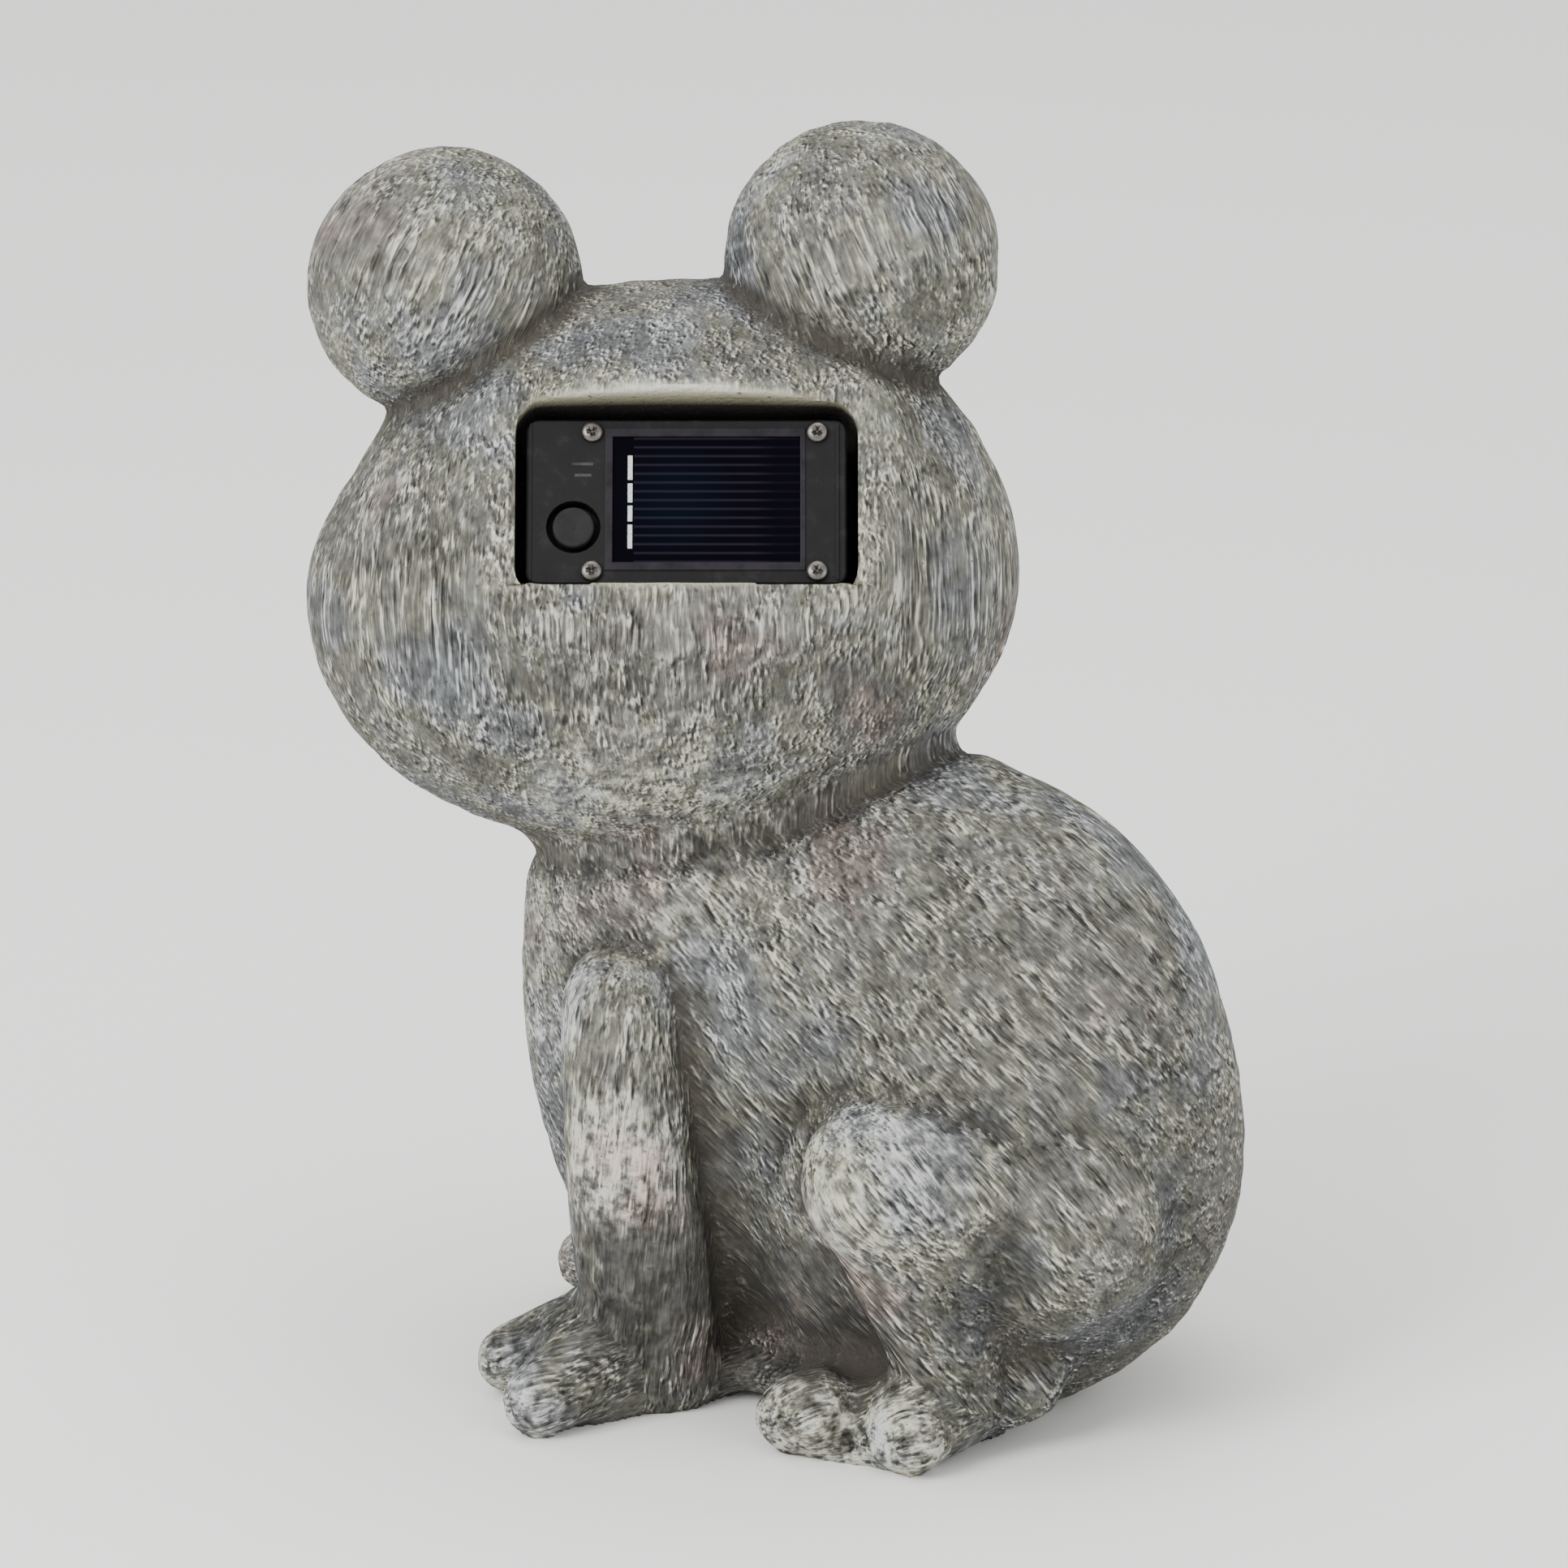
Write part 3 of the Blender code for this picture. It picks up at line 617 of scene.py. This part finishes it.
def cast_stone():
    """Grey mineral resin with stained cuts, dry-brushed crests and painted shade."""
    material, tree = new_material("cast_stone_dry_brushed")
    place = add(tree, "TexCoord", out="Object")
    flow = add(tree, "Attribute", {"attribute_name": "flow"}, out="Vector")
    crest, wide, relief, loaded, painted_low_shade, line, washed, wall, wall_depth = (
        add(tree, "Attribute", {"attribute_name": name}, out="Fac")
        for name in ("crest", "wide", "relief", "loaded", "low", "line", "washed", "wall",
                     "wall_depth"))
    bend = add(tree, "TexNoise", out="Color", Vector=place, Scale=60.0, Detail=2.0)
    bent = add(tree, "VectorMath", {"operation": "MULTIPLY_ADD"}, i0=bend, i1=(0.0022,) * 3,
               i2=flow)

    clouds = add(tree, "TexNoise", Vector=place, Scale=45.0, Detail=3.0, Roughness=0.6)
    hues = add(tree, "TexNoise", Vector=place, Scale=26.0, Detail=4.0, Roughness=0.6)
    clumps = add(tree, "TexNoise", Vector=place, Scale=150.0, Detail=2.0)
    mottle = add(tree, "TexNoise", Vector=place, Scale=300.0, Detail=3.0, Roughness=0.6)
    loose = add(tree, "ValToRGB", {"stops": [(0.36, 0.25), (0.60, 1.0)]},
                i0=streaks(tree, bent, 10.0, 6.0, shift=4.2, detail=2.0))

    # Each dab gets a painted shadow beside it: the same dab, moved a little and subtracted at
    # three quarters of its strength.
    painted_dab_shadow_place = add(tree, "VectorMath", PLUS, i0=bent, i1=(0.0005, 0.0006, 0.0003))
    dabs_and_dab_shadows = []
    for long_mm, wide_mm, shift, level, weight in DABS:
        for side, share in ((bent, weight), (painted_dab_shadow_place, -0.75 * weight)):
            grain = streaks(tree, side, long_mm, wide_mm, shift, detail=1.5)
            dab = add(tree, "ValToRGB", {"stops": [(level, 0.0), (level + 0.10, 1.0)]}, i0=grain)
            dabs_and_dab_shadows.append((dab, share))
    lines = band(tree, streaks(tree, bent, 15.0, 2.2, shift=0.0, detail=2.0), 0.5, 0.07)
    cuts = band(tree, streaks(tree, bent, 11.0, 2.2, shift=9.1, detail=2.0), 0.5, 0.07)
    dry = add(tree, "Math", TIMES, i0=loose, i1=summed(tree, (washed, -0.75), (1.0, 1.0)))
    paint_and_dab_shadows = add(tree, "Math", TIMES, i0=dry, i1=summed(tree, *dabs_and_dab_shadows, (lines, 0.16)))

    worn = add(tree, "Math", TIMES, i0=loaded, i1=summed(tree, (mottle, 1.0), (1.0, -0.36)))
    # Besides paint and stain, the tone holds painted shade: darker towards the ground, in tool
    # lines, in hollows of broad forms and in the painted shade patches.
    tone = summed(tree, (clumps, 0.20), (clouds, 0.24), (mottle, 0.30), (relief, 0.07),
                  (crest, 0.03), (wide, 0.006), (worn, 1.0), (paint_and_dab_shadows, 1.0), (cuts, -0.06),
                  (painted_low_shade, -0.10), (line, -0.12), (washed, -0.09), (1.0, 0.115))
    colour = add(tree, "ValToRGB", {"stops": [
        (0.20, "262626"), (0.36, "474746"), (0.48, "666664"), (0.58, "82827f"), (0.70, "b5b5b0"),
        (0.86, "e2e2dc")]}, i0=tone)
    hue = add(tree, "ValToRGB", {"stops": [
        (0.32, "d0d5dd"), (0.42, "d5d7d9"), (0.50, "d9d7c7"), (0.58, "d7d6d2"), (0.68, "dfcfc7")]},
        i0=hues)
    colour = add(tree, "Mix", TINT, out=2, i0=1.0, i6=colour, i7=hue)

    # Hollows and creases darken: the stain that settles there, plus painted crease shade.
    hollow_stain_and_shade = add(tree, "Math", {"operation": "MULTIPLY_ADD", "use_clamp": True}, i0=crest,
                 i1=-0.42, i2=-0.21)
    colour = add(tree, "Mix", BLEND, out=2, i0=hollow_stain_and_shade, i6=colour, i7="443f38")
    # Painted shade: the cream of the recess walls darkens to near black with depth.
    cream_with_painted_depth_shade = add(tree, "ValToRGB", {"stops": [
        (0.25, "1d1b18"), (0.55, "8d8871"), (0.80, "bdbaa6"), (1.0, "d3d1c4")]}, i0=wall_depth)
    colour = add(tree, "Mix", BLEND, out=2, i0=wall, i6=colour, i7=cream_with_painted_depth_shade)

    pits = add(tree, "TexNoise", Vector=place, Scale=620.0, Detail=1.0)
    pit = add(tree, "ValToRGB", {"stops": [(0.24, 0.7), (0.33, 0.0)]}, i0=pits)
    colour = add(tree, "Mix", BLEND, out=2, i0=pit, i6=colour, i7="383736")

    height = summed(tree, (paint_and_dab_shadows, 1.6), (mottle, 0.3), (cuts, -0.25), (pit, -0.28))
    bump = add(tree, "Bump", Strength=0.5, Distance=0.0012, Height=height)
    shader = add(tree, "BsdfPrincipled", Base_Color=colour, Roughness=0.88, Normal=bump,
                 Specular_IOR_Level=0.25)
    add(tree, "OutputMaterial", out=None, Surface=shader)
    return material


skin.data.materials.append(cast_stone())
skin.data.polygons.foreach_set("use_smooth", np.ones(len(skin.data.polygons), bool))
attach(skin, "statue")
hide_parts("frog")
print("skin:", sum(sizes - 2), "triangles")

# %% [markdown]
# ## The lamp module
# The case is injection-moulded ABS, black through and through, with a fine spark-eroded grain on
# the cover. The cover shows a raised bezel around the cell, a slim rib along each end and two
# short raised strokes over the button. They are built in the cover's own axes, in millimetres: x
# across, y up the slope, z out of the cover. One matrix puts them in place.

# %% Module axes
MODULE = Matrix([[*(axis[row] * MM for axis in PANEL_AXES), PANEL[row]] for row in range(3)]
                + [[0, 0, 0, 1]])


def module_piece(name, net, body, material, smooth=False):
    """Puts a bmesh drawn in the cover's millimetres in its place as a finished piece."""
    bmesh.ops.recalc_face_normals(net, faces=net.faces)
    bmesh.ops.transform(net, matrix=MODULE, verts=net.verts)
    for face in net.faces:
        face.smooth = smooth
    mesh = bpy.data.meshes.new(name)
    net.to_mesh(mesh)
    net.free()
    mesh.materials.append(material)
    piece = bpy.data.objects.new(name, mesh)
    scene.collection.objects.link(piece)
    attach(piece, body)
    print(name, len(mesh.polygons), "faces")
    return piece


def bar(net, left, right, bottom, top, low, high, edge=0.12):
    """A bar with eased edges between these coordinates, in millimetres."""
    made = bmesh.ops.create_cube(net, size=1.0)["verts"]
    middle = Vector(((left + right) / 2, (bottom + top) / 2, (low + high) / 2))
    size = Matrix.Diagonal((right - left, top - bottom, high - low, 1))
    bmesh.ops.transform(net, matrix=Matrix.Translation(middle) @ size, verts=made)
    outer = [e for e in net.edges if e.verts[0] in made and e.verts[1] in made
             and max(v.co.z for v in e.verts) > high - 1e-6]
    bmesh.ops.bevel(net, geom=outer, offset=edge, segments=2, profile=0.5, affect="EDGES",
                    material=-1)


# %% [markdown]
# ### Black ABS
# Moulded ABS with a fine erosion grain: a dark grey that never gets quite black, a broad soft
# sheen, and a grain of about 0.3 mm that only shows in the highlights. The grain here is 0.5 mm,
# because a finer one would not show in the picture.

# %% ABS material
def module_place(tree):
    """Object coordinates turned into the cover's axes, in metres."""
    turn = Matrix(PANEL_AXES).transposed().to_euler()
    return add(tree, "Mapping", {"vector_type": "TEXTURE"}, Location=PANEL, Rotation=turn,
               Vector=add(tree, "TexCoord", out="Object"))


def moulded_abs(name, shade):
    """Black ABS with an eroded grain and a little pale dust."""
    material, tree = new_material(name)
    place = module_place(tree)
    grain = add(tree, "TexNoise", Vector=place, Scale=2000.0, Detail=2.0)
    wear = add(tree, "TexNoise", Vector=place, Scale=160.0, Detail=4.0, Roughness=0.65)
    colour = add(tree, "ValToRGB", {"stops": [(0.30, "101011"), (0.55, shade), (0.72, "222223")]},
                 i0=wear)
    gloss = add(tree, "ValToRGB", {"stops": [(0.3, 0.46), (0.7, 0.60)]}, i0=wear)
    bump = add(tree, "Bump", Strength=0.25, Distance=0.0002, Height=grain)
    shader = add(tree, "BsdfPrincipled", Base_Color=colour, Roughness=gloss, Normal=bump,
                 Specular_IOR_Level=0.16)
    add(tree, "OutputMaterial", out=None, Surface=shader)
    return material


abs_black = moulded_abs("abs_black_grained", "131313")
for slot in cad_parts["panel_housing"].material_slots:
    slot.material = abs_black

# %% [markdown]
# ### Trim of the cover
# The bezel starts as a plate of one unit, inset and with its middle taken out. The inset leaves
# 0.8 of the plate, so its corners are moved out by 1.25 before they get the window's size. The
# ring is raised to a third of a millimetre over the cover and eased, so it draws one thin light
# line around the window.

# %% Bezel, ribs and strokes
BEZEL_THICK, BEZEL_SUNK, BEZEL_EDGE = 0.38, 0.06, 0.16
bezel = bmesh.new()
bmesh.ops.create_grid(bezel, x_segments=1, y_segments=1, size=0.5)
outer = Matrix.Translation((3.95, 0.55, 0)) @ Matrix.Diagonal((42.5, 31.5, 1, 1))
opening = Matrix.Translation((4.2, 0.5, 0)) @ Matrix.Diagonal((39.8, 27.8, 1, 1))
corners_out = bezel.verts[:]
bmesh.ops.inset_region(bezel, faces=bezel.faces[:], thickness=0.1, depth=0.0, use_boundary=True,
                       use_even_offset=True)
corners_in = [vert for vert in bezel.verts if vert not in corners_out]
bmesh.ops.transform(bezel, verts=corners_in,
                    matrix=opening @ Matrix.Diagonal((1.25, 1.25, 1, 1)))
bmesh.ops.transform(bezel, verts=corners_out, matrix=outer)
middle = next(face for face in bezel.faces if set(face.verts) == set(corners_in))
bmesh.ops.delete(bezel, geom=[middle], context="FACES_ONLY")
raised = bmesh.ops.extrude_face_region(bezel, geom=bezel.faces[:])
bmesh.ops.translate(bezel, vec=(0, 0, BEZEL_THICK),
                    verts=[v for v in raised["geom"] if isinstance(v, bmesh.types.BMVert)])
rims = [edge for edge in bezel.edges if all(vert.co.z > 0.3 for vert in edge.verts)
        and len({face.normal.z > 0.5 for face in edge.link_faces}) == 2]
bmesh.ops.bevel(bezel, geom=rims, offset=BEZEL_EDGE, segments=2, profile=0.5, affect="EDGES",
                material=-1)
bmesh.ops.translate(bezel, vec=(0, 0, -BEZEL_SUNK), verts=bezel.verts)
# The bezel's lighter violet grey is painted sheen on the strips above and below the window.
module_piece("window_bezel", bezel, "statue", moulded_abs("abs_bezel_painted_sheen", "211d24"))

ribs = bmesh.new()
bar(ribs, 31.7, 32.4, -17.3, 17.3, -0.1, 0.32)
bar(ribs, -33.3, -32.8, -17.3, 17.3, -0.1, 0.22, 0.08)
module_piece("cover_ribs", ribs, "statue", abs_black)

strokes = bmesh.new()
bar(strokes, -24.4, -19.8, 8.0, 8.7, -0.1, 0.12, 0.06)
bar(strokes, -23.8, -20.2, 5.5, 6.2, -0.1, 0.12, 0.06)
# The raised strokes are coloured a lighter grey than the cover.
module_piece("cover_strokes", strokes, "statue",
             moulded_abs("abs_light_grey_strokes", "3a3a3c"))

# %% [markdown]
# ### The solar cell
# A small silicon cell under clear resin: nearly black with a blue cast, printed with fine silver
# fingers two millimetres apart. They show as dim violet lines. The bright busbar near its left
# edge is printed thicker, in four dashes, and is a thin piece of its own.

# %% Solar cell material and busbar
FINGER_PITCH = 1.95 * MM


def silicon_cell():
    """Dark blue silicon with printed fingers under glossy clear resin."""
    material, tree = new_material("silicon_cell_under_resin")
    place = module_place(tree)
    x, y, _ = add(tree, "SeparateXYZ", Vector=place).node.outputs
    rows = add(tree, "Math", {"operation": "DIVIDE"}, i0=add(tree, "Math", PLUS, i0=y, i1=0.1),
               i1=FINGER_PITCH)
    finger = band(tree, add(tree, "Math", {"operation": "FRACT"}, i0=rows), 0.5, 0.20)
    start = add(tree, "Math", {"operation": "GREATER_THAN"}, i0=x, i1=-0.0112)
    fade = add(tree, "ValToRGB", {"stops": [(0.56, 0.8), (0.76, 0.2)]},
               i0=add(tree, "Math", TIMES, i0=x, i1=40.0))
    finger = add(tree, "Math", TIMES, i0=add(tree, "Math", TIMES, i0=finger, i1=start), i1=fade)
    cloud = add(tree, "TexNoise", Vector=place, Scale=70.0, Detail=2.0)
    away = add(tree, "VectorMath", {"operation": "DISTANCE"}, out="Value", i0=place,
               i1=(-0.002, 0.0005, 0.0))
    teal = add(tree, "ValToRGB", {"stops": [(0.2, 0.8), (0.8, 0.0)]},
               i0=add(tree, "Math", TIMES, i0=away, i1=60.0))
    ground = add(tree, "Mix", BLEND, out=2, i0=teal, i6="040309", i7="030b14")
    haze = add(tree, "Math", TIMES, i0=cloud, i1=0.3)
    ground = add(tree, "Mix", BLEND, out=2, i0=haze, i6=ground, i7="08070e")
    colour = add(tree, "Mix", BLEND, out=2, i0=finger, i6=ground, i7="221e2c")
    shader = add(tree, "BsdfPrincipled", Base_Color=colour, Roughness=0.3, Specular_IOR_Level=0.02)
    add(tree, "OutputMaterial", out=None, Surface=shader)
    return material


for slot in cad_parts["solar_cell"].material_slots:
    slot.material = silicon_cell()


def silver_paste():
    """Fired silver paste: matt, nearly white metal with a grainy edge."""
    material, tree = new_material("silver_paste_fired")
    grain = add(tree, "TexNoise", Vector=module_place(tree), Scale=2500.0, Detail=2.0)
    colour = add(tree, "ValToRGB", {"stops": [(0.3, "a9a9a8"), (0.7, "d6d6d4")]}, i0=grain)
    shader = add(tree, "BsdfPrincipled", Base_Color=colour, Roughness=0.55, Metallic=0.3)
    add(tree, "OutputMaterial", out=None, Surface=shader)
    return material


busbar = bmesh.new()
for low, high in ((4.9, 10.3), (-0.1, 4.1), (-4.3, -0.8), (-10.3, -5.0)):
    bar(busbar, -12.5, -11.5, low, high, -0.24, -0.13, 0.05)
module_piece("cell_busbar", busbar, "statue", silver_paste())

# %% [markdown]
# ### Screws
# Nickel-plated pan-head screws. Half of the head's outline is spun into a turned body, and a
# cross of two tapered bars is cut out of its top with a boolean, as the punch does it.

# %% Screw heads
def nickel():
    """Nickel plate on steel: bright, slightly warm, with faint turning marks."""
    material, tree = new_material("nickel_plated_steel")
    grain = add(tree, "TexNoise", Vector=module_place(tree), Scale=900.0, Detail=3.0)
    rough = add(tree, "ValToRGB", {"stops": [(0.3, 0.26), (0.7, 0.46)]}, i0=grain)
    shader = add(tree, "BsdfPrincipled", Base_Color="6a6764", Roughness=rough, Metallic=1.0)
    add(tree, "OutputMaterial", out=None, Surface=shader)
    return material


def turned(outline, segments=32):
    """A body of revolution from an outline of (radius, height) in mm, from top to bottom."""
    net = bmesh.new()
    ring = [net.verts.new((radius, 0, height)) for radius, height in outline]
    line = [net.edges.new(pair) for pair in zip(ring, ring[1:])]
    bmesh.ops.spin(net, geom=ring + line, cent=(0, 0, 0), axis=(0, 0, 1), angle=math.tau,
                   steps=segments, use_merge=True)
    bmesh.ops.remove_doubles(net, verts=net.verts, dist=1e-4)
    bmesh.ops.recalc_face_normals(net, faces=net.faces)
    return net


HEAD_OUTLINE = [(0, 1.40), (0.9, 1.37), (1.5, 1.26), (1.95, 1.05), (2.22, 0.78), (2.30, 0.52),
                (2.30, 0.34), (2.24, 0.30), (1.10, 0.30), (1.10, -6.4), (0.6, -7.0), (0, -7.0)]
plated = nickel()


def cross_head_screw(name, x, y, turn):
    """A pan head screw whose cross is turned by some degrees."""
    net = turned(HEAD_OUTLINE)
    body = bpy.data.meshes.new(name)
    net.to_mesh(body)
    net.free()
    punch = bmesh.new()
    for quarter in (0, 90):
        made = bmesh.ops.create_cone(punch, cap_ends=True, segments=4, radius1=0.30, radius2=2.4,
                                     depth=1.3)["verts"]
        squeeze = Matrix.Diagonal((1.0, 0.42, 1, 1)) @ Matrix.Rotation(math.radians(45), 4, "Z")
        bmesh.ops.transform(punch, verts=made, matrix=Matrix.Rotation(
            math.radians(quarter + turn), 4, "Z") @ Matrix.Translation((0, 0, 1.05)) @ squeeze)
    cutter = bpy.data.meshes.new("punch")
    punch.to_mesh(cutter)
    punch.free()
    screw, tool = bpy.data.objects.new(name, body), bpy.data.objects.new("punch", cutter)
    scene.collection.objects.link(screw)
    scene.collection.objects.link(tool)
    cross = screw.modifiers.new("cross", "BOOLEAN")
    cross.operation, cross.object, cross.solver, cross.use_self = "DIFFERENCE", tool, "EXACT", True
    bpy.context.view_layer.update()
    cut = bpy.data.meshes.new_from_object(
        screw.evaluated_get(bpy.context.evaluated_depsgraph_get()))
    bpy.data.objects.remove(screw)
    bpy.data.objects.remove(tool)
    final = bmesh.new()
    final.from_mesh(cut)
    bmesh.ops.translate(final, verts=final.verts, vec=(x, y, 0))
    piece = module_piece("cross_head_" + name, final, "statue", plated, True)
    piece.data.set_sharp_from_angle(angle=math.radians(35))
    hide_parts(name)


SCREW_LEFT, SCREW_RIGHT, SCREW_RISE = -20.1, 27.7, 15.4
for name, x, y, turn in (("screw_upper_left", SCREW_LEFT, SCREW_RISE, 12),
                         ("screw_upper_right", SCREW_RIGHT, SCREW_RISE, 40),
                         ("screw_lower_left", SCREW_LEFT, -SCREW_RISE, 4),
                         ("screw_lower_right", SCREW_RIGHT, -SCREW_RISE, 58)):
    cross_head_screw(name, x, y, turn)

# %% [markdown]
# ### The push button
# A moulded silicone cap, duller than the cover, with a rounded rim and a shallow dish for the
# finger. It is spun from one outline, stem included, and rides on the moving body.

# %% Button
def silicone():
    """Black silicone rubber: soft sheen, fine bloom of dust."""
    material, tree = new_material("silicone_black")
    dust = add(tree, "TexNoise", Vector=module_place(tree), Scale=420.0, Detail=4.0)
    colour = add(tree, "ValToRGB", {"stops": [(0.3, "131313"), (0.7, "1b1b1b")]}, i0=dust)
    bump = add(tree, "Bump", Strength=0.2, Distance=0.0002, Height=dust)
    shader = add(tree, "BsdfPrincipled", Base_Color=colour, Roughness=0.72, Normal=bump,
                 Specular_IOR_Level=0.25)
    add(tree, "OutputMaterial", out=None, Surface=shader)
    return material


CAP_PLACE = (-24.0, -5.6, 0)
CAP_OUTLINE = [(0, 0.02), (0.35, 0.02), (0.45, -0.10), (1.6, -0.08), (2.7, 0.02), (3.5, 0.15),
               (3.9, 0.20), (4.15, 0.15), (4.33, 0.0), (4.4, -0.25), (4.4, -2.8), (1.4, -2.8),
               (1.4, -6.8), (0, -6.8)]
cap = turned(CAP_OUTLINE, segments=48)
bmesh.ops.translate(cap, verts=cap.verts, vec=CAP_PLACE)
button = module_piece("button_cap", cap, "button", silicone(), True)
button.data.set_sharp_from_angle(angle=math.radians(40))
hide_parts("push_button")

# %% [markdown]
# ## The studio
# A pale floor and three soft lights, in the way of a shop photograph: a strong one high on the
# left, a weaker one on the right, one overhead, and the bright room around.

# %% Floor
floor_net = bmesh.new()
bmesh.ops.create_grid(floor_net, x_segments=1, y_segments=1, size=3.0)
floor_mesh = bpy.data.meshes.new("floor")
floor_net.to_mesh(floor_mesh)
floor_net.free()
floor = bpy.data.objects.new("floor", floor_mesh)
scene.collection.objects.link(floor)
paper, tree = new_material("pale_paper")
shader = add(tree, "BsdfPrincipled", Base_Color="f4f4f2", Roughness=0.9)
add(tree, "OutputMaterial", out=None, Surface=shader)
floor_mesh.materials.append(paper)

# %% Lights and the room
def soft_light(name, place, size, power):
    """A square area light that looks at the figure."""
    light = bpy.data.lights.new(name, "AREA")
    light.shape, light.size, light.energy = "SQUARE", size, power
    lamp = bpy.data.objects.new(name, light)
    lamp.location = place
    lamp.rotation_mode = "QUATERNION"
    lamp.rotation_quaternion = (AIM - Vector(place)).to_track_quat("-Z", "Y")
    scene.collection.objects.link(lamp)


soft_light("key", (1.1, 1.05, 1.2), size=0.9, power=32)
soft_light("fill", (-1.2, 1.0, 0.7), size=1.0, power=7)
soft_light("top", (0.0, -0.2, 1.8), size=1.2, power=12)
room = bpy.data.worlds.new("room")
room.use_nodes = True
glow = room.node_tree.nodes["Background"]
glow.inputs["Color"].default_value = linear("ffffff")
glow.inputs["Strength"].default_value = 1.15
scene.world = room
